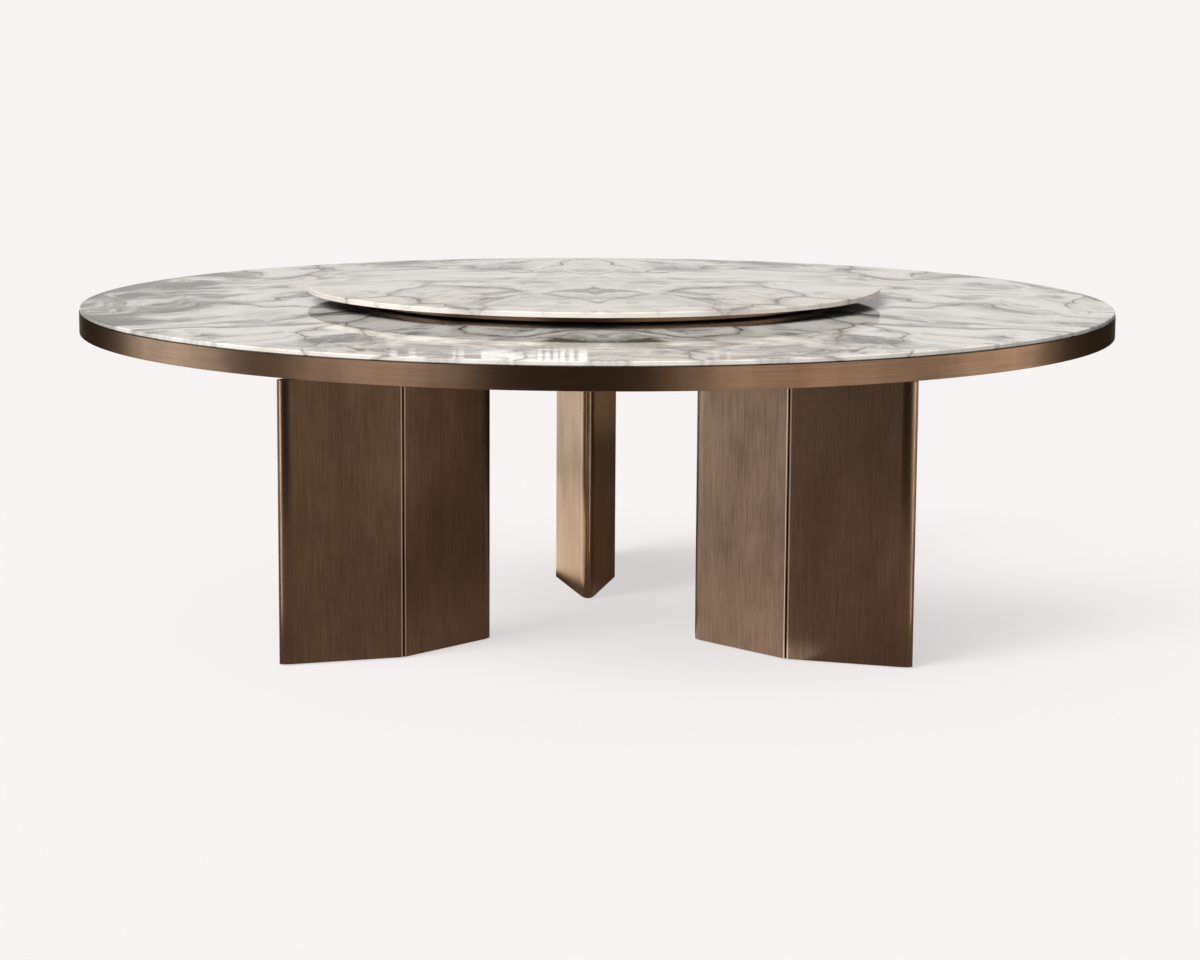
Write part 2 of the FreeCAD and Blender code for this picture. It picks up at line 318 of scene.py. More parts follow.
def in_block(stone, cut):
    """Where in the block a point of the slab was, mirrored at the seam."""
    x, y, z = stone.split(stone.place())
    mirrored = stone.join(stone.math("ABSOLUTE", x), y, z)
    inputs = {"Vector": mirrored, "Location": cut, "Rotation": (0, 0, slab_turn), "Scale": slab_stretch}
    return stone.node("Mapping", inputs).outputs[0]


def bent(stone, vector, scale, reach):
    """A place pushed about by noise, by up to about half a reach each way."""
    push = stone.noise(vector, scale, 3.0, 0.5, output=1)
    push = stone.vector("SUBTRACT", push, (0.5, 0.5, 0.5))
    push = stone.vector("MULTIPLY", push, (reach, reach, reach))
    return stone.vector("ADD", vector, push)


def blocks(stone, vector, scale):
    """Healed blocks: a shade of its own for each, and the distance to its edge."""
    inputs = {"Vector": vector, "Scale": scale}
    shade = stone.node("TexVoronoi", inputs, feature="F1").outputs["Color"]
    shade = stone.node("SeparateColor", {0: shade}).outputs[0]
    edge = stone.node("TexVoronoi", inputs, feature="DISTANCE_TO_EDGE").outputs["Distance"]
    return shade, edge


print("white stone", [round(value, 3) for value in marble_white[:3]])

# %% [markdown]
# ## Clouds in the stone
# Minerals settled in the stone as smoke settles in a room. A long, many-layered noise
# gives the clouds, each block lifts or lowers them a little, and a finer noise lays a
# thin grey veil over the rest. The left end of the top is the smoky side of the slab.

# %% Clouds
cloud_grain = (3.4, 8.0, 3.4)
veil_grain = (6.0, 15.0, 6.0)
cloud_depth = 0.14
block_contrast = 0.09
smoky_end = (-1.12, -0.72)
veil_strength = 0.5


def cloud_level(stone, feathered, shade, end_smoke):
    """How cloudy each place is; the smoky end of the slab gets more."""
    cloud = stone.noise(stone.stretch(feathered, cloud_grain), 1.0, 9.0, 0.7)
    lift = stone.math("MULTIPLY", stone.math("SUBTRACT", shade, 0.5), block_contrast)
    cloud = stone.math("ADD", cloud, lift)
    x = stone.split(stone.place())[0]
    return stone.math("ADD", cloud, stone.grade(x, *smoky_end, end_smoke, 0.0))


def body_colour(stone, flow, feathered, cloud, cloud_from):
    """White to cream stone under a grey veil and clouds of smoke."""
    warm = stone.grade(stone.noise(flow, 1.6, 3.0), 0.4, 0.56)
    colour = stone.mix(warm, marble_white, marble_cream)
    veil = stone.noise(stone.stretch(feathered, veil_grain), 1.0, 7.0, 0.62)
    colour = stone.mix(stone.grade(veil, 0.46, 0.72, 0.0, veil_strength), colour, marble_smoke)
    return stone.mix(stone.rise(cloud, cloud_from, cloud_from + cloud_depth), colour, marble_smoke)


print("extra smoke lies at x below", smoky_end[1])

# %% [markdown]
# ## Veins and polish
# Where blocks healed, iron left a soft taupe band and sometimes a fine dark crack, so
# both follow the distance to a block's edge, and broad noise lets them come and go.
# The polish is nearly a mirror and a little rougher in the cracks. The upright edges
# get painted light, mixed towards an even pale grey, and the underside gets painted
# shade, a dark colour.

# %% Veins
band_width = 0.07
band_strength = 0.6
crack_width = 0.015
crack_strength = 0.95


def veins(stone, turned, edge, cloud):
    """Soft bands and fine cracks along the edges of the blocks."""
    shown = stone.grade(stone.noise(turned, 2.3, 3.0), 0.37, 0.52)
    band = stone.math("MULTIPLY", stone.grade(edge, 0.0, band_width, 1.0, 0.0), shown)
    band = stone.math("MULTIPLY", band, stone.grade(cloud, 0.36, 0.52, 0.4, 1.0))
    drawn = stone.grade(stone.noise(turned, 3.4, 3.0), 0.4, 0.52)
    crack = stone.math("MULTIPLY", stone.grade(edge, 0.0, crack_width, 1.0, 0.0), drawn)
    return band, crack


print("cracks are a share of", round(crack_width / band_width, 2), "of a band's width")

# %% Marble
flow_bend = (1.7, 0.6)
ripple_bend = (7.0, 0.1)
feather_bend = (30.0, 0.025)
block_scale = 2.6
crystal_scale = 260.0
edge_light_share = 0.6
polish = (0.03, 0.05)
crack_roughness = 0.08
underside_roughness = 0.6
stone_index = 1.25


def marble(name, cut, cloud_from, end_smoke):
    """Bookmatched marble; cut says where in the block the slabs were cut."""
    stone = Finish(name)
    turned = in_block(stone, cut)
    flow = bent(stone, turned, *flow_bend)
    ripple = bent(stone, flow, *ripple_bend)
    feathered = bent(stone, ripple, *feather_bend)
    shade, edge = blocks(stone, ripple, block_scale)
    cloud = cloud_level(stone, feathered, shade, end_smoke)
    colour = body_colour(stone, flow, feathered, cloud, cloud_from)

    band, crack = veins(stone, turned, edge, cloud)
    colour = stone.mix(stone.math("MULTIPLY", band, band_strength), colour, marble_taupe)
    colour = stone.mix(stone.math("MULTIPLY", crack, crack_strength), colour, marble_vein)
    crystals = stone.noise(turned, crystal_scale, 2.0)
    colour = stone.mix(stone.grade(crystals, 0.3, 0.8, 0.0, 0.06), colour, marble_white)
    upward = stone.upward()
    # Painted light: faces that look sideways are mixed towards an even pale grey.
    edge_light = stone.grade(stone.math("ABSOLUTE", upward), 0.2, 0.9, edge_light_share, 0.0)
    colour = stone.mix(edge_light, colour, painted_edge_light)
    # Painted shade: the underside is mixed towards a dark colour and made rougher.
    under = stone.grade(upward, -0.95, -0.85, 1.0, 0.0)
    colour = stone.mix(under, colour, painted_underside_shade)

    gloss = stone.grade(crystals, 0.3, 0.7, *polish)
    gloss = stone.math("ADD", gloss, stone.math("MULTIPLY", crack, crack_roughness))
    gloss = stone.math("ADD", gloss, stone.math("MULTIPLY", under, underside_roughness))
    pitting = stone.bump(stone.math("MULTIPLY", crack, -1.0), 0.2, 0.0002)
    return stone.surface(Base_Color=colour, Roughness=gloss, IOR=stone_index, Normal=pitting)


top_marble = marble("top_marble", (-4.7, 0.8, -2.3), 0.488, 0.14)
turntable_marble = marble("turntable_marble", (-3.2, -6.3, 2.7), 0.477, 0.0)

# %% [markdown]
# ## Brushed bronze
# The sheet is brushed with an abrasive belt and lacquered. Each scratch is long and
# very thin, so a noise that is squeezed across the grain and drawn out along it gives
# the lines, a broader one gives streaks, and a third gives patches of patina. Brushing
# also spreads a highlight across the scratches, which the shader's anisotropy does.

# %% The grain of the brushing
def upright_grain(bronze):
    """Scratches that run up and down."""
    return bronze.stretch(bronze.place(), (700.0, 700.0, 12.0))


def hoop_grain(bronze):
    """Scratches that run round the table's axis."""
    flat, out = bronze.from_axis()
    up = bronze.split(bronze.place())[2]
    across = bronze.math("MULTIPLY", bronze.math("ADD", out, up), 1600.0)
    along = bronze.vector("MULTIPLY", flat, (7.0, 7.0, 0.0))
    return bronze.vector("ADD", along, bronze.join(z=across))


print("grains:", upright_grain.__name__, hoop_grain.__name__)

# %% Bronze sheet
bronze_glance = tint(232, 220, 206)
fine_share, broad_share, patina_share = 0.46, 0.1, 0.44
roughness_play = 0.04


def brushed_bronze(name, grain, across, deep, light, rough, detail=None):
    """Bronze brushed along a grain; detail may change its colour and roughness in places."""
    bronze = Finish(name)
    lines = grain(bronze)
    fine = bronze.noise(lines, 1.0, 3.0, 0.6)
    broad = bronze.noise(bronze.stretch(lines, (0.16, 0.16, 0.16)), 1.0, 4.0, 0.6)
    patina = bronze.noise(bronze.stretch(bronze.place(), (1.0, 1.0, 0.5)), 7.0, 4.0, 0.6)
    shade = bronze.math("MULTIPLY", fine, fine_share)
    shade = bronze.math("ADD", shade, bronze.math("MULTIPLY", broad, broad_share))
    shade = bronze.math("ADD", shade, bronze.math("MULTIPLY", patina, patina_share))
    colour = bronze.mix(bronze.grade(shade, 0.36, 0.64), deep, light)
    worn = bronze.grade(shade, 0.34, 0.66, rough + roughness_play, rough - roughness_play)
    if detail:
        colour, worn = detail(bronze, colour, worn)
    tangent = bronze.node("Tangent", direction_type="RADIAL", axis="Z").outputs[0]
    return bronze.surface(Base_Color=colour, Metallic=1.0, Roughness=worn, Anisotropic=0.65,
                          Anisotropic_Rotation=across, Tangent=tangent,
                          Specular_Tint=bronze_glance, Coat_Weight=0.03, Coat_Roughness=0.2,
                          Normal=bronze.bump(fine, 0.12, 0.0003))


along_upright, along_hoop = 0.0, 0.25
hoop_bronze = brushed_bronze("hoop_bronze", hoop_grain, along_hoop,
                             tint(97, 75, 57), tint(121, 95, 74), 0.36)

# %% [markdown]
# ## The marble top
# The top is two half discs of ten millimetre stone that meet on the middle line. A
# cylinder cut in half by a bisect gives each half. Its upper edge is then eased with
# a small round, as a stone mason does so that it doesn't chip. Its lower edge gets a
# chamfer, which leaves a fine shadow line above the bronze rim.

# %% Half discs of stone
round_steps = 360
mason_round = 0.0025
shadow_edge = 0.002
broken_edge = 0.0004
same_place = 1e-5


def axis_reach(node):
    """The nearest and the farthest distance of a node's points from the upright axis."""
    distances = [math.hypot(*vertex.co.xy) for vertex in frame["nodes"][node].data.vertices]
    return min(distances), max(distances)


def half_disc(node, name, finish, lower_edge):
    """Half a stone disc with a rounded upper and a chamfered lower edge."""
    low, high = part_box(node)
    radius = axis_reach(node)[1]
    side = 1 if high.x > radius / 2 else -1

    def on_rim(edge, level):
        spot = middle(edge)
        return abs(spot.z - level) < same_place and spot.xy.length > radius * 0.99

    clear_hands()
    bpy.ops.mesh.primitive_cylinder_add(vertices=round_steps, radius=radius, depth=high.z - low.z,
                                        location=(0, 0, (low.z + high.z) / 2))
    begin_edit()
    bpy.ops.mesh.bisect(plane_co=(0, 0, 0), plane_no=(side, 0, 0), use_fill=True, clear_inner=True)
    pick("EDGE", lambda edge: on_rim(edge, high.z))
    bpy.ops.mesh.bevel(offset=mason_round, segments=5, affect="EDGES")
    pick("EDGE", lambda edge: on_rim(edge, low.z))
    bpy.ops.mesh.bevel(offset=lower_edge, segments=1, affect="EDGES")
    hand_over(close_piece(name, finish), node)


for side in ("left", "right"):
    half_disc(f"top_slab_{side}", f"top_stone_{side}", top_marble, shadow_edge)

# %% [markdown]
# ## The bronze rim
# A strip of bronze sheet is rolled into a hoop and its lower edge turned in, so that
# it hides the boards under the stone. A circle raised to a wall, with its lower edge
# drawn in to a lip, has that section as a single sheet. Solidify then gives it the
# sheet's thickness inwards, and a small bevel takes the sharpness off.

# %% Hoops of sheet metal
sheet = 0.003
sheet_round = 0.0008
sheet_corner = math.radians(40)


def at_level(edge, level):
    """Whether both ends of an edge lie at a level."""
    return all(abs(corner.co.z - level) < same_place for corner in edge.verts)


def turn_outwards():
    """Let the faces of an open hoop in edit mode point away from the axis."""
    bpy.ops.mesh.select_all(action="SELECT")
    bpy.ops.mesh.normals_make_consistent(inside=False)
    faces = bmesh.from_edit_mesh(bpy.context.object.data).faces
    wall = next(face for face in faces if abs(face.normal.z) < 0.5)
    if wall.normal.dot(wall.calc_center_median()) < 0:
        bpy.ops.mesh.flip_normals()


def hoop(node, name, finish, lip):
    """A hoop of sheet, with its lower edge turned in where it has a lip."""
    low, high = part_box(node)
    inside, outside = axis_reach(node)
    clear_hands()
    bpy.ops.mesh.primitive_circle_add(vertices=round_steps, radius=outside, location=(0, 0, low.z))
    begin_edit()
    bpy.ops.mesh.extrude_edges_move(TRANSFORM_OT_translate={"value": (0, 0, high.z - low.z)})
    if lip:
        pick("EDGE", lambda edge: at_level(edge, low.z))
        draw_in = inside / outside
        bpy.ops.mesh.extrude_edges_move()
        bpy.ops.transform.resize(value=(draw_in, draw_in, 1), center_override=(0, 0, low.z))
    turn_outwards()
    apply_modifier("sheet", "SOLIDIFY", thickness=sheet, offset=-1, use_even_offset=True)
    apply_modifier("eased", "BEVEL", width=sheet_round, segments=3, limit_method="ANGLE",
                   angle_limit=sheet_corner)
    hand_over(close_piece(name, finish), node)


hoop("rim_band", "bronze_rim", hoop_bronze, lip=True)

# %% [markdown]
# ## The turning centre
# A smaller stone disc, also in two bookmatched halves, lies on a board that turns on
# the bearing. A bronze skirt hides the board and the bearing. Its bronze is a lighter
# copy of the rim's, painted light for the shade under the disc, and it has painted
# shade along both of its edges. The same two recipes make them, and they ride on the
# turntable's body.

# %% Bronze of the skirt
# Painted shade: a near black for the edges of the skirt and the joints of the legs.
painted_shade_colour = tint(34, 32, 27)
lower_shade_band = (0.0013, 0.0033)
upper_shade_band = (0.009, 0.0115)


def painted_skirt_shade(bronze, colour, worn):
    """Painted shade along both edges of the skirt; each band gives two heights above its lower edge."""
    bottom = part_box("turntable_skirt")[0].z
    up = bronze.split(bronze.place())[2]
    # Painted shade along the skirt's lower and upper edges.
    low_dark = bronze.grade(up, bottom + lower_shade_band[0], bottom + lower_shade_band[1], 1.0, 0.0)
    high_dark = bronze.grade(up, bottom + upper_shade_band[0], bottom + upper_shade_band[1])
    colour = bronze.mix(low_dark, colour, painted_shade_colour)
    return bronze.mix(high_dark, colour, painted_shade_colour), worn


# A lighter copy of the rim's bronze, painted light that makes up for the shade under the disc, with painted
# shade along its edges.
skirt_bronze = brushed_bronze("skirt_bronze", hoop_grain, along_hoop,
                              tint(134, 105, 80), tint(160, 127, 98), 0.36, painted_skirt_shade)

# %% Turntable stone and skirt
for side in ("left", "right"):
    half_disc(f"turntable_slab_{side}", f"turntable_stone_{side}", turntable_marble, broken_edge)
hoop("turntable_skirt", "bronze_skirt", skirt_bronze, lip=False)

# %% [markdown]
# ## The folded legs
# Each leg is two shells of thin bronze sheet. A shell is bent round a nose, and its
# two long edges are returned inwards, so that the pair meets in a fine dark joint.
# In plan a shell is one bent line, so a single vertex is extruded from corner to
# corner, the line is raised to a sheet and the nose edge is bevelled to its radius.
# Solidify gives the wall. The back leg is modelled, and copies turned round the
# table's axis make the other two.

# %% Plan of a leg, along the back leg's axis
leg_half_width = 0.075
nose_radius = 0.017
leg_wall = 0.002
return_depth = 0.014
joint_round = 0.0025
outer_low, outer_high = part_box("back_outer_shell")
inner_low, inner_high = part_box("back_inner_shell")
fold = (outer_low.y + inner_high.y) / 2
fold_out = math.hypot(leg_half_width, fold)


def nose_slope(reach):
    """Half the angle between a shell's two sides, which are tangent to the nose's round."""
    along = abs(reach - fold) - nose_radius
    return math.atan2(leg_half_width, along) - math.asin(nose_radius / math.hypot(leg_half_width, along))


def nose_out(reach):
    """How far from the table's axis a shell's sides run into its nose."""
    away = 1 if reach > fold else -1
    slope = nose_slope(reach)
    along = reach - away * nose_radius * (1 - math.sin(slope))
    return math.hypot(nose_radius * math.cos(slope), along)


print("fold at", round(fold, 4), "and its corners", round(fold_out, 4), "from the axis")
print("noses begin", round(nose_out(inner_low.y), 4), round(nose_out(outer_high.y), 4), "from the axis")

# %% [markdown]
# ## Bronze of the legs
# Hands, feet and chairs rub the noses of the legs, so they are smoother than the flat
# sides. Along each joint a thin painted highlight lies on either side of the gap, and
# the joint gets painted shade. All of these stand at a fixed distance from the table's
# axis, which is the same for the three legs, so that distance places them.

# %% Rubbed noses, painted highlights and painted shade at the joints
# Painted highlight: a pale bronze for thin lines beside the joints.
painted_joint_highlight = tint(150, 128, 108)
nose_ease = 0.003
inner_nose_share = 0.8
nose_polish = 0.1
joint_shade_side = (0.0015, 0.0027)
highlight_from = (0.0026, 0.0038)
highlight_to = (0.0046, 0.0066)
joint_shade_share, highlight_share = 0.85, 0.9


def smooth_noses_and_painted_joints(bronze, colour, worn):
    """Smooth noses, a painted highlight beside each joint and painted shade in it."""
    out = bronze.from_axis()[1]
    inner, outer = nose_out(inner_low.y), nose_out(outer_high.y)
    inner_smooth = bronze.grade(out, inner - nose_ease, inner + nose_ease, inner_nose_share, 0.0)
    outer_smooth = bronze.grade(out, outer - nose_ease, outer + nose_ease)
    smooth = bronze.math("ADD", inner_smooth, outer_smooth)
    # Painted highlight in a thin line on each side of a joint, and painted shade in the joint itself.
    aside = bronze.math("ABSOLUTE", bronze.math("SUBTRACT", out, fold_out))
    joint_highlight = bronze.math("MULTIPLY", bronze.grade(aside, *highlight_from),
                       bronze.grade(aside, *highlight_to, highlight_share, 0.0))
    joint = bronze.grade(aside, *joint_shade_side, joint_shade_share, 0.0)
    colour = bronze.mix(joint_highlight, colour, painted_joint_highlight)
    colour = bronze.mix(joint, colour, painted_shade_colour)
    return colour, bronze.math("SUBTRACT", worn, bronze.math("MULTIPLY", smooth, nose_polish))


leg_bronze = brushed_bronze("leg_bronze", upright_grain, along_upright,
                            tint(70, 51, 37), tint(92, 71, 54), 0.34, smooth_noses_and_painted_joints)

# %% Draw and raise the line of a shell
def upright(edge):
    """Whether an edge runs up a leg."""
    return abs(edge.verts[0].co.z - edge.verts[1].co.z) > leg_half_width


def draw_line(line, level):
    """A chain of edges through the points of a line, from one corner of a small plane."""
    (first_x, first_y), seed = line[0], return_depth
    bpy.ops.mesh.primitive_plane_add(size=seed, location=(first_x + seed / 2, first_y + seed / 2, level))
    begin_edit()
    pick("VERT", lambda corner: corner.co.x > first_x + seed / 4 or corner.co.y > first_y + seed / 4)
    bpy.ops.mesh.delete(type="VERT")
    bpy.ops.mesh.select_all(action="SELECT")
    for (x0, y0), (x1, y1) in zip(line, line[1:]):
        bpy.ops.mesh.extrude_vertices_move(TRANSFORM_OT_translate={"value": (x1 - x0, y1 - y0, 0)})


def raise_line(height):
    """Raise the line in hand to a sheet."""
    bpy.ops.mesh.select_mode(type="EDGE")
    bpy.ops.mesh.select_all(action="SELECT")
    bpy.ops.mesh.extrude_edges_move(TRANSFORM_OT_translate={"value": (0, 0, height)})


print("a shell is", round(outer_high.z - outer_low.z, 4), "high")

# %% One shell
nose_steps = 14
joint_steps = 4
sharp_corner = math.radians(50)
corner_reach = 1e-4


def sides_outwards():
    """Let the long sides of the shell in edit mode point away from its middle."""
    bpy.ops.mesh.select_all(action="SELECT")
    bpy.ops.mesh.normals_make_consistent(inside=False)
    faces = bmesh.from_edit_mesh(bpy.context.object.data).faces
    side = max(faces, key=lambda face: face.calc_area())
    if side.normal.x * side.calc_center_median().x < 0:
        bpy.ops.mesh.flip_normals()


def leg_shell(name, low, high, nose, joint):
    """A shell from its joint round its nose, along the back leg's axis."""
    slope = nose_slope(nose)
    away = 1 if nose > joint else -1
    corner = leg_half_width - abs(joint - fold) * math.tan(slope)
    tip = fold + away * leg_half_width / math.tan(slope)
    line = [(leg_half_width - return_depth, joint), (corner, joint), (0, tip),
            (-corner, joint), (return_depth - leg_half_width, joint)]

    clear_hands()
    draw_line(line, low.z)
    raise_line(high.z - low.z)
    pick("EDGE", lambda edge: upright(edge) and abs(middle(edge).x) < same_place)
    bpy.ops.mesh.bevel(offset=nose_radius / math.tan(slope), segments=nose_steps, affect="EDGES")
    sides_outwards()
    apply_modifier("wall", "SOLIDIFY", thickness=leg_wall, offset=-1, use_even_offset=True)

    bpy.ops.object.mode_set(mode="EDIT")
    pick("EDGE", lambda edge: upright(edge) and abs(abs(middle(edge).x) - corner) < corner_reach)
    bend = (math.pi / 2 - slope) / 2
    bpy.ops.mesh.bevel(offset=joint_round / math.tan(bend), segments=joint_steps, affect="EDGES")
    apply_modifier("eased", "BEVEL", width=broken_edge, segments=2, limit_method="ANGLE",
                   angle_limit=sharp_corner)
    return close_piece(name, leg_bronze)


patterns = {
    "outer": leg_shell("back_outer_leaf", outer_low, outer_high, outer_high.y, outer_low.y),
    "inner": leg_shell("back_inner_leaf", inner_low, inner_high, inner_low.y, inner_high.y),
}
print("shells of the back leg:", ", ".join(patterns))

# %% The pair of the back leg, copied round the table
leg_turns = {"back": 0.0, "front_left": 120.0, "front_right": 240.0}


def copy_round(piece, name, degrees):
    """A copy with its own mesh, turned about the upright axis, with the turn put into its mesh."""
    clear_hands()
    copy = piece.copy()
    copy.data = piece.data.copy()
    bpy.context.collection.objects.link(copy)
    copy.name = copy.data.name = name
    bpy.context.view_layer.objects.active = copy
    copy.select_set(True)
    copy.rotation_euler.z = math.radians(degrees)
    bpy.ops.object.transform_apply(location=True, rotation=True, scale=True)
    return copy


for leg, degrees in leg_turns.items():
    for half, pattern in patterns.items():
        leaf = copy_round(pattern, f"{leg}_{half}_leaf", degrees) if degrees else pattern
        hand_over(leaf, f"{leg}_{half}_shell")

# %% [markdown]
# ## Finishes of the parts below and inside
# The steel frame, the boards, the bearing and the fasteners keep their CAD shapes and
# get finishes of their own: a powder coat with its fine orange peel, plywood stained
# nearly black with its plies showing at the edge, turned metal, nylon and rubber.

# %% Powder coat
def powder_coat(name):
    """A matt black coat with the fine orange peel of baked powder."""
    coat = Finish(name)
    peel = coat.noise(coat.place(), 900.0, 2.0)
    wear = coat.noise(coat.place(), 14.0, 5.0, 0.65)
    colour = coat.mix(coat.grade(wear, 0.35, 0.7), tint(30, 29, 28), tint(46, 45, 43))
    return coat.surface(Base_Color=colour, Roughness=coat.grade(wear, 0.3, 0.7, 0.42, 0.58),
                        IOR=1.5, Normal=coat.bump(peel, 0.25, 0.0003))


black_steel = powder_coat("black_powder_coat")

# %% Plywood
def plywood(name):
    """Dark stained plywood: grain and pores on its faces, plies along its edges."""
    wood = Finish(name)
    place = wood.place()
    grain = wood.noise(wood.stretch(place, (3.0, 60.0, 3.0)), 1.0, 6.0, 0.6)
    pores = wood.noise(wood.stretch(place, (22.0, 700.0, 22.0)), 1.0, 2.0)
    plies = wood.node("TexWave", {"Vector": place, "Scale": 90.0, "Distortion": 0.4},
                      wave_type="BANDS", bands_direction="Z").outputs[1]
    colour = wood.mix(wood.grade(grain, 0.3, 0.7), tint(66, 60, 54), tint(48, 43, 38))
    colour = wood.mix(wood.grade(pores, 0.55, 0.75, 0.0, 0.4), colour, tint(30, 27, 24))
    edge = wood.grade(wood.math("ABSOLUTE", wood.upward("True Normal")), 0.3, 0.7, 1.0, 0.0)
    banding = wood.math("MULTIPLY", wood.grade(plies, 0.35, 0.65), wood.math("MULTIPLY", edge, 0.6))
    colour = wood.mix(banding, colour, tint(34, 30, 26))
    return wood.surface(Base_Color=colour, Roughness=wood.grade(grain, 0.3, 0.7, 0.5, 0.66),
                        Normal=wood.bump(pores, 0.2, 0.0004))


stained_board = plywood("stained_plywood")

# %% Turned and drawn metals
def bare_metal(name, dark, light, rough, scale):
    """An uncoated metal with slight tarnish; its marks run round the axis where no scale is given."""
    metal = Finish(name)
    lines = hoop_grain(metal) if scale is None else metal.stretch(metal.place(), scale)
    marks = metal.noise(lines, 1.0, 3.0, 0.6)
    tarnish = metal.noise(metal.place(), 30.0, 4.0)
    shade = metal.math("ADD", metal.math("MULTIPLY", marks, 0.6), metal.math("MULTIPLY", tarnish, 0.4))
    return metal.surface(Base_Color=metal.mix(metal.grade(shade, 0.35, 0.65), dark, light), Metallic=1.0,
                         Roughness=metal.grade(shade, 0.35, 0.65, rough + 0.08, rough),
                         Normal=metal.bump(marks, 0.1, 0.0002))


race_metal = bare_metal("turned_aluminium", tint(150, 151, 153), tint(196, 197, 199), 0.3, None)
ball_metal = bare_metal("polished_ball", tint(196, 197, 199), tint(222, 223, 225), 0.06, (60.0, 60.0, 60.0))
screw_metal = bare_metal("blackened_screw", tint(62, 60, 58), tint(92, 90, 87), 0.34, (200.0, 200.0, 200.0))

# %% Nylon and rubber
def moulded(name, dark, light, rough):
    """A moulded plastic or rubber with a fine spark-eroded texture."""
    mould = Finish(name)
    texture = mould.noise(mould.place(), 1400.0, 2.0)
    cloud = mould.noise(mould.place(), 40.0, 3.0)
    return mould.surface(Base_Color=mould.mix(mould.grade(cloud, 0.35, 0.65), dark, light),
                         Roughness=mould.grade(texture, 0.3, 0.7, rough - 0.06, rough + 0.06),
                         Normal=mould.bump(texture, 0.2, 0.0002))


glide_nylon = moulded("nylon_glide", tint(38, 36, 34), tint(56, 53, 50), 0.5)
pad_rubber = moulded("rubber_pad", tint(70, 70, 70), tint(92, 92, 91), 0.62)
cage_nylon = moulded("nylon_cage", tint(205, 200, 188), tint(224, 220, 209), 0.45)

# %% Give each CAD node the finish of its slot
finishes = {
    "marble": top_marble,
    "bronze": leg_bronze,
    "black_steel": black_steel,
    "board": stained_board,
    "glide": glide_nylon,
    "pad": pad_rubber,
    "race": race_metal,
    "cage": cage_nylon,
    "ball": ball_metal,
    "fastener": screw_metal,
}
for row in frame["record"]["subparts"]:
    node = frame["nodes"][row["node"]]
    node.data.materials.clear()
    node.data.materials.append(finishes[row["material_slot"]])

# %% [markdown]
# ## The floor
# The table stands on a plain pale floor that runs into the background without a line.
# Most of what is seen of it is its own pale colour, and the rest is lit, so that the
# table's shadow stays soft and light. Towards the edge of the disc, the camera sees
# only its own colour, and mirror images see through it to the room. In mirror images
# the floor behind the table is swapped for a dim, warm glow, a painted shade.

# %% Paint of the floor
pale = tint(247, 243, 242)
floor_radius = 2.6
floor_fade = 1.7
floor_own_share = 0.67
floor_paint = tint(184, 181, 180)
far_floor_painted_shade = tint(196, 168, 140)
far_floor_shade_glow = 0.42
far_floor_shade_from = (0.2, 0.5)


def floor_finish():
    """Pale paint that fades into the backdrop."""
    paint = Finish("pale_floor")
    flat, out = paint.from_axis()
    path = paint.node("LightPath").outputs
    fade = paint.grade(out, floor_fade, floor_radius)
    mirrored = paint.math("MAXIMUM", path["Is Glossy Ray"], path["Is Transmission Ray"])
    seen = paint.math("MAXIMUM", path["Is Camera Ray"], mirrored)
    to_pale = paint.math("MULTIPLY", fade, path["Is Camera Ray"])
    share = paint.math("ADD", paint.math("MULTIPLY", seen, floor_own_share),
                       paint.math("MULTIPLY", to_pale, 1 - floor_own_share))

    own = paint.node("Emission", {"Color": pale, "Strength": 1.0}).outputs[0]
    lit = paint.blend(share, paint.shader.outputs[0], own)
    # Painted shade for mirror images: behind the table the floor glows dim and warm instead of showing its
    # lit paint.
    dim = paint.node("Emission", {"Color": far_floor_painted_shade, "Strength": far_floor_shade_glow}).outputs[0]
    behind = paint.grade(paint.split(flat)[1], *far_floor_shade_from)
    lit = paint.blend(paint.math("MULTIPLY", behind, path["Is Glossy Ray"]), lit, dim)
    to_room = paint.math("SUBTRACT", fade, to_pale)
    whole = paint.blend(to_room, lit, paint.node("BsdfTransparent").outputs[0])
    paint.feed(paint.tree.nodes["Material Output"].inputs["Surface"], whole)
    return paint.surface(Base_Color=floor_paint, Roughness=0.9, Specular_IOR_Level=0.0)


pale_floor = floor_finish()

# %% Disc of the floor
clear_hands()
bpy.ops.mesh.primitive_circle_add(vertices=128, radius=floor_radius, fill_type="NGON")
floor = bpy.context.object
floor.name = floor.data.name = "floor"
floor.data.materials.append(pale_floor)
print("floor is", 2 * floor_radius, "across")

# %% [markdown]
# ## The studio room
# The camera sees an even pale backdrop. Matt surfaces get an even fill from all round.
# Mirror images see a room that is brighter behind the table and dim in front of it, as
# it is behind any camera. A slightly darker wall stands where the polished top mirrors
# the windows, so that they read as windows.

# %% How bright the room is in each direction
front_level = 0.055
back_levels = (0.62, 0.57)
behind_from = (0.9, 0.97)
horizon = (0.088, 0.1)
left_side, left_glow = (-0.98, -0.7), 0.3
upper_part, upper_glow = (0.1, 0.22), 0.3
wall_foot, wall_head = (0.111, 0.119), (0.16, 0.2)
wall_end, wall_shade = (0.11, 0.15), 0.13


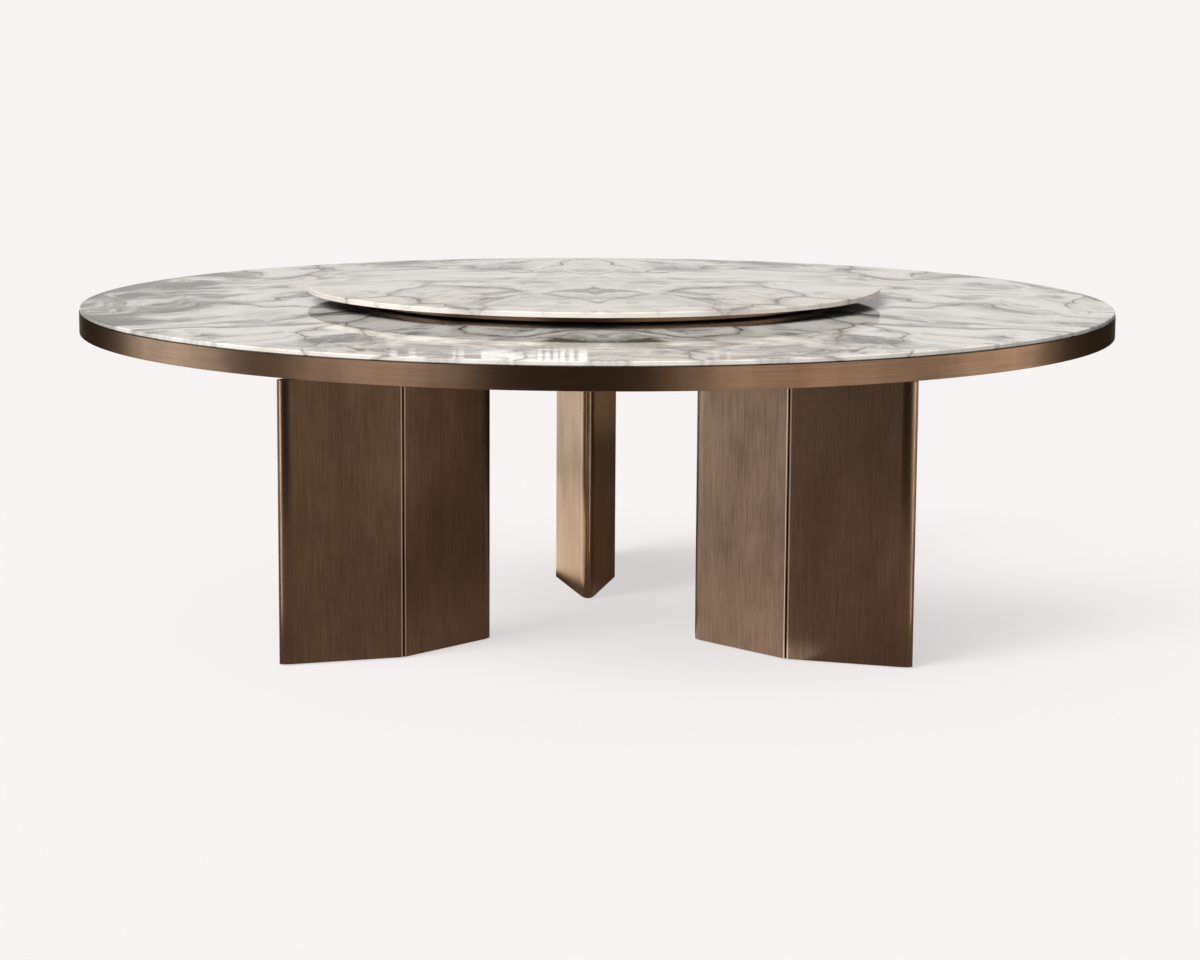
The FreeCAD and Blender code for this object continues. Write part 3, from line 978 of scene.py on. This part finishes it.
def room_level(room):
    """The room's brightness by the direction that a mirror image looks in."""
    x, y, z = room.split(room.node("TexCoord").outputs["Generated"])
    behind = room.grade(y, *behind_from)
    left = room.grade(x, *left_side, left_glow, 0.0)
    back = room.grade(y, *behind_from, front_level, room.grade(z, *horizon, *back_levels))
    upper = room.math("MULTIPLY", behind, room.grade(z, *upper_part, 0.0, upper_glow))
    wall = room.math("MULTIPLY", room.grade(z, *wall_foot),
                     room.grade(room.math("ABSOLUTE", x), *wall_end, wall_shade, 0.0))
    wall = room.math("MULTIPLY", wall, room.grade(z, *wall_head, 1.0, 0.0))
    wall = room.math("MULTIPLY", wall, behind)
    return room.math("ADD", left, room.math("SUBTRACT", room.math("ADD", back, upper), wall))


print("room behind the table", back_levels, "and in front of it", front_level)

# %% World
fill_strength = 0.24
fill_colour = (1.0, 0.985, 0.97, 1.0)
dim_room = tint(240, 216, 190)


def studio_world():
    """A backdrop for the camera, a room for mirror images and a fill for the rest."""
    world = bpy.data.worlds.new("studio")
    bpy.context.scene.world = world
    world.use_nodes = True
    room = Pattern(world.node_tree)
    path = room.node("LightPath").outputs
    level = room_level(room)
    shade = room.mix(room.grade(level, 0.0, 0.3), dim_room, pale)
    fill = room.node("Background", {"Color": fill_colour, "Strength": fill_strength}).outputs[0]
    around = room.node("Background", {"Color": shade, "Strength": level}).outputs[0]
    backdrop = room.node("Background", {"Color": pale, "Strength": 1.0}).outputs[0]
    mirrored = room.math("MAXIMUM", path["Is Glossy Ray"], path["Is Transmission Ray"])
    whole = room.blend(path["Is Camera Ray"], room.blend(mirrored, fill, around), backdrop)
    room.feed(room.tree.nodes["World Output"].inputs["Surface"], whole)
    print("world", world.name, "has", len(room.tree.nodes), "nodes")


studio_world()

# %% [markdown]
# ## Lamps
# Polished stone and bronze show the lamps that they mirror. So the matt light and the
# mirrored light are set apart: wide suns give light and shadow and aren't mirrored,
# and softboxes are only mirrored. Light linking says which pieces a lamp reaches, as a
# photographer's flags and cards do, so that each side of each leg gets its own tone.

# %% Lamp tools
def aim(lamp, target):
    """Turn a lamp so that it shines at a point."""
    lamp.rotation_euler = (Vector(target) - lamp.location).to_track_quat("-Z", "Y").to_euler()


def new_lamp(name, kind, location, target, energy):
    """A lamp at a place, aimed at a point."""
    bpy.ops.object.light_add(type=kind, location=location)
    lamp = bpy.context.object
    lamp.name = lamp.data.name = name
    lamp.data.energy = energy
    aim(lamp, target)
    return lamp


def softbox(name, location, target, size, glow, colour=(1.0, 1.0, 1.0), takers=None):
    """A lit panel that only gloss shows; glow is its brightness, where 1 is white."""
    lamp = new_lamp(name, "AREA", location, target, glow * math.pi * size[0] * size[1])
    lamp.data.shape = "RECTANGLE"
    lamp.data.size, lamp.data.size_y = size
    lamp.data.color = colour
    lamp.visible_camera = lamp.visible_diffuse = False
    lamp.light_linking.receiver_collection = takers


def soft_sun(name, location, energy, degrees, takers, blockers=None):
    """A wide, even light towards the middle, on some objects only, that gloss doesn't show."""
    lamp = new_lamp(name, "SUN", location, (0, 0, 0), energy)
    lamp.data.angle = math.radians(degrees)
    lamp.visible_glossy = False
    lamp.light_linking.receiver_collection = takers
    lamp.light_linking.blocker_collection = blockers


clear_hands()
print("lamps are", softbox.__name__, "and", soft_sun.__name__)

# %% Groups of pieces for the lamps
def link_group(name, members, state="INCLUDE"):
    """A group of objects that a lamp lights or leaves out, or that block it."""
    group = bpy.data.collections.new(name)
    for member in members:
        group.objects.link(member)
    for row in group.collection_objects:
        row.light_linking.link_state = state
    return group


def named(test):
    """The objects whose names pass a test."""
    return [piece for piece in bpy.data.objects if test(piece.name)]


leaves = named(lambda name: name.endswith("_leaf"))
back_leaves = named(lambda name: name.startswith("back_") and name.endswith("_leaf"))
left_leaves = named(lambda name: name.startswith("front_left_") and name.endswith("_leaf"))
right_leaves = named(lambda name: name.startswith("front_right_") and name.endswith("_leaf"))
stones = named(lambda name: "_stone_" in name)
disc = named(lambda name: name.startswith("turntable_stone_"))
only_floor = link_group("only_floor", [floor])
all_but_floor = link_group("all_but_floor", [floor], "EXCLUDE")
only_stone = link_group("only_stone", stones)
all_but_stone = link_group("all_but_stone", stones, "EXCLUDE")
only_back_leg = link_group("only_back_leg", back_leaves)
only_left_leg = link_group("only_left_leg", left_leaves)
only_right_leg = link_group("only_right_leg", right_leaves)
all_but_back_leg = link_group("all_but_back_leg", back_leaves + stones, "EXCLUDE")
all_but_left_leg = link_group("all_but_left_leg", left_leaves + stones, "EXCLUDE")
print(len(leaves), "leaves and", len(stones), "stones are grouped")

# %% Suns for the table and for the floor
soft_sun("key", (-1.2, -1.86, 2.03), 4.1, 40, all_but_floor)
soft_sun("low_floor_light", (-2.4, -1.75, 1.71), 5.25, 32, only_floor, link_group("legs", leaves))
soft_sun("high_floor_light", (-0.8, -0.6, 2.07), 3.27, 36, only_floor,
         link_group("legs_and_disc", leaves + disc))
print("three suns, two of them for the floor alone")

# %% [markdown]
# ## Softboxes and cards
# The bronze is mostly a picture of what stands round it. Tall softboxes to the left,
# the right and in front give its flat sides their tone. Small strips make the bright
# line on each nose, and cards on the floor and behind lift the inner sides.

# %% Tall softboxes
daylight = (0.85, 1.0, 1.2)
soft_daylight = (0.95, 1.0, 1.08)
leg_middle = (0, -0.6, 0.5)
softbox("left_softbox", (-3.4, -0.2, 0.5), (0, -0.2, 0.5), (1.7, 1.9), 3.1, daylight, all_but_stone)
softbox("front_left_softbox", (-2.8, -3.3, 0.5), leg_middle, (2.5, 1.9), 2.5, soft_daylight,
        all_but_back_leg)
softbox("right_softbox", (3.4, -0.7, 0.5), (0, -0.3, 0.5), (1.7, 1.9), 2.6, takers=all_but_stone)
softbox("front_right_softbox", (2.8, -3.5, 0.5), leg_middle, (4.2, 1.9), 2.4, takers=all_but_left_leg)
softbox("left_leg_softbox", (2.8, -3.5, 0.5), leg_middle, (4.2, 1.9), 1.75, takers=only_left_leg)
softbox("low_back_softbox", (-1.05, 1.95, 0.27), (0, 0.4, 0.27), (0.9, 0.54), 4.2)
print("six softboxes for the bronze")

# %% Cards for the legs
warm_card = (1.0, 0.65, 0.3)
warm_panel = (1.0, 0.72, 0.45)


def floor_card(name, spot, size, glow, colour, takers):
    """A card that lies just above the floor and faces up."""
    softbox(name, (*spot, 0.002), (*spot, 1.0), size, glow, colour, takers)


floor_card("back_floor_card", (-0.595, 1.16), (0.96, 1.62), 4.1, (1.0, 1.0, 1.0), only_back_leg)
floor_card("back_right_floor_card", (0.75, 1.5), (1.3, 2.1), 0.03, warm_card, only_back_leg)
floor_card("right_floor_card", (0.15, -0.27), (0.6, 0.35), 2.2, daylight, only_right_leg)
softbox("back_right_panel", (1.35, 2.6, 0.3), (0.05, 0.45, 0.3), (1.3, 0.6), 0.55, warm_panel,
        only_back_leg)
softbox("low_left_card", (-0.15, -0.25, 0.3), (1.0, -0.25, 0.3), (0.5, 0.62), 2.4, daylight)
print("five cards for the inner sides of the legs")

# %% Strips for the noses
softbox("back_nose_strip", (0.42, -0.013, 0.3), (0, 0.281, 0.3), (0.07, 0.64), 14.0, takers=only_back_leg)
softbox("left_nose_strip", (-0.9, -0.75, 0.3), (-0.65, -0.376, 0.3), (0.09, 0.64), 10.0, daylight,
        only_left_leg)
softbox("right_nose_strip", (0.9, -0.75, 0.3), (0.65, -0.376, 0.3), (0.09, 0.64), 7.0, daylight,
        only_right_leg)
print("three strips for the noses")

# %% [markdown]
# ## What the polished stone mirrors
# From low in front, the top mirrors a row of tall windows far behind it. Each window
# is a narrow lit panel between two places from left to right. From the other sides,
# the stone mirrors three wide, dim walls of the room, high up.

# %% Windows and walls of the room
window_middle = (7.0, 1.85)
window_height = 0.26
window_glow = 1.35
windows = [(-0.856, -0.815, 0.8), (-0.757, -0.722, 0.75), (-0.53, -0.514, 0.6),
           (-0.501, -0.471, 0.55), (-0.384, -0.216, 0.85), (-0.216, -0.103, 0.55),
           (-0.094, -0.07, 0.9), (-0.053, -0.03, 0.95), (-0.012, 0.012, 0.95),
           (0.023, 0.046, 0.95), (0.07, 0.093, 0.95), (0.117, 0.163, 0.95),
           (0.81, 0.84, 0.3), (0.88, 0.9, 0.3)]
for number, (west, east, share) in enumerate(windows):
    centre, (far, up) = (west + east) / 2, window_middle
    softbox(f"window_{number}", (centre, far, up), (centre, 0.0, up), (east - west, window_height),
            share * window_glow)

panel_height, panel_size, panel_glow = 2.9, (14, 4.2), 0.4
for name, spot in (("room_front", (0, -7)), ("room_left", (-7, 0)), ("room_right", (7, 0))):
    softbox(name, (*spot, panel_height), (0, 0, panel_height), panel_size, panel_glow, takers=only_stone)
print(len(windows), "windows and three walls")

# %% [markdown]
# ## The camera
# The camera stands a little left of the middle, just above seated eye height, and
# looks slightly down. Its long lens keeps the legs upright, and a small shift frames
# the table in the picture.

# %% Camera
camera_place = (-0.1485, -5.5477, 1.3009)
camera_down, camera_turn = math.radians(7.048), math.radians(1.101)
clear_hands()
bpy.ops.object.camera_add(location=camera_place, rotation=(math.radians(90) - camera_down, 0, camera_turn))
camera = bpy.context.object
camera.data.sensor_width = 36.0
camera.data.lens = 73.656
camera.data.shift_x, camera.data.shift_y = 0.1, -0.1
bpy.context.scene.camera = camera
bpy.context.scene.view_settings.view_transform = "Standard"
print("camera", round(Vector(camera_place).length, 2), "from the table's foot")
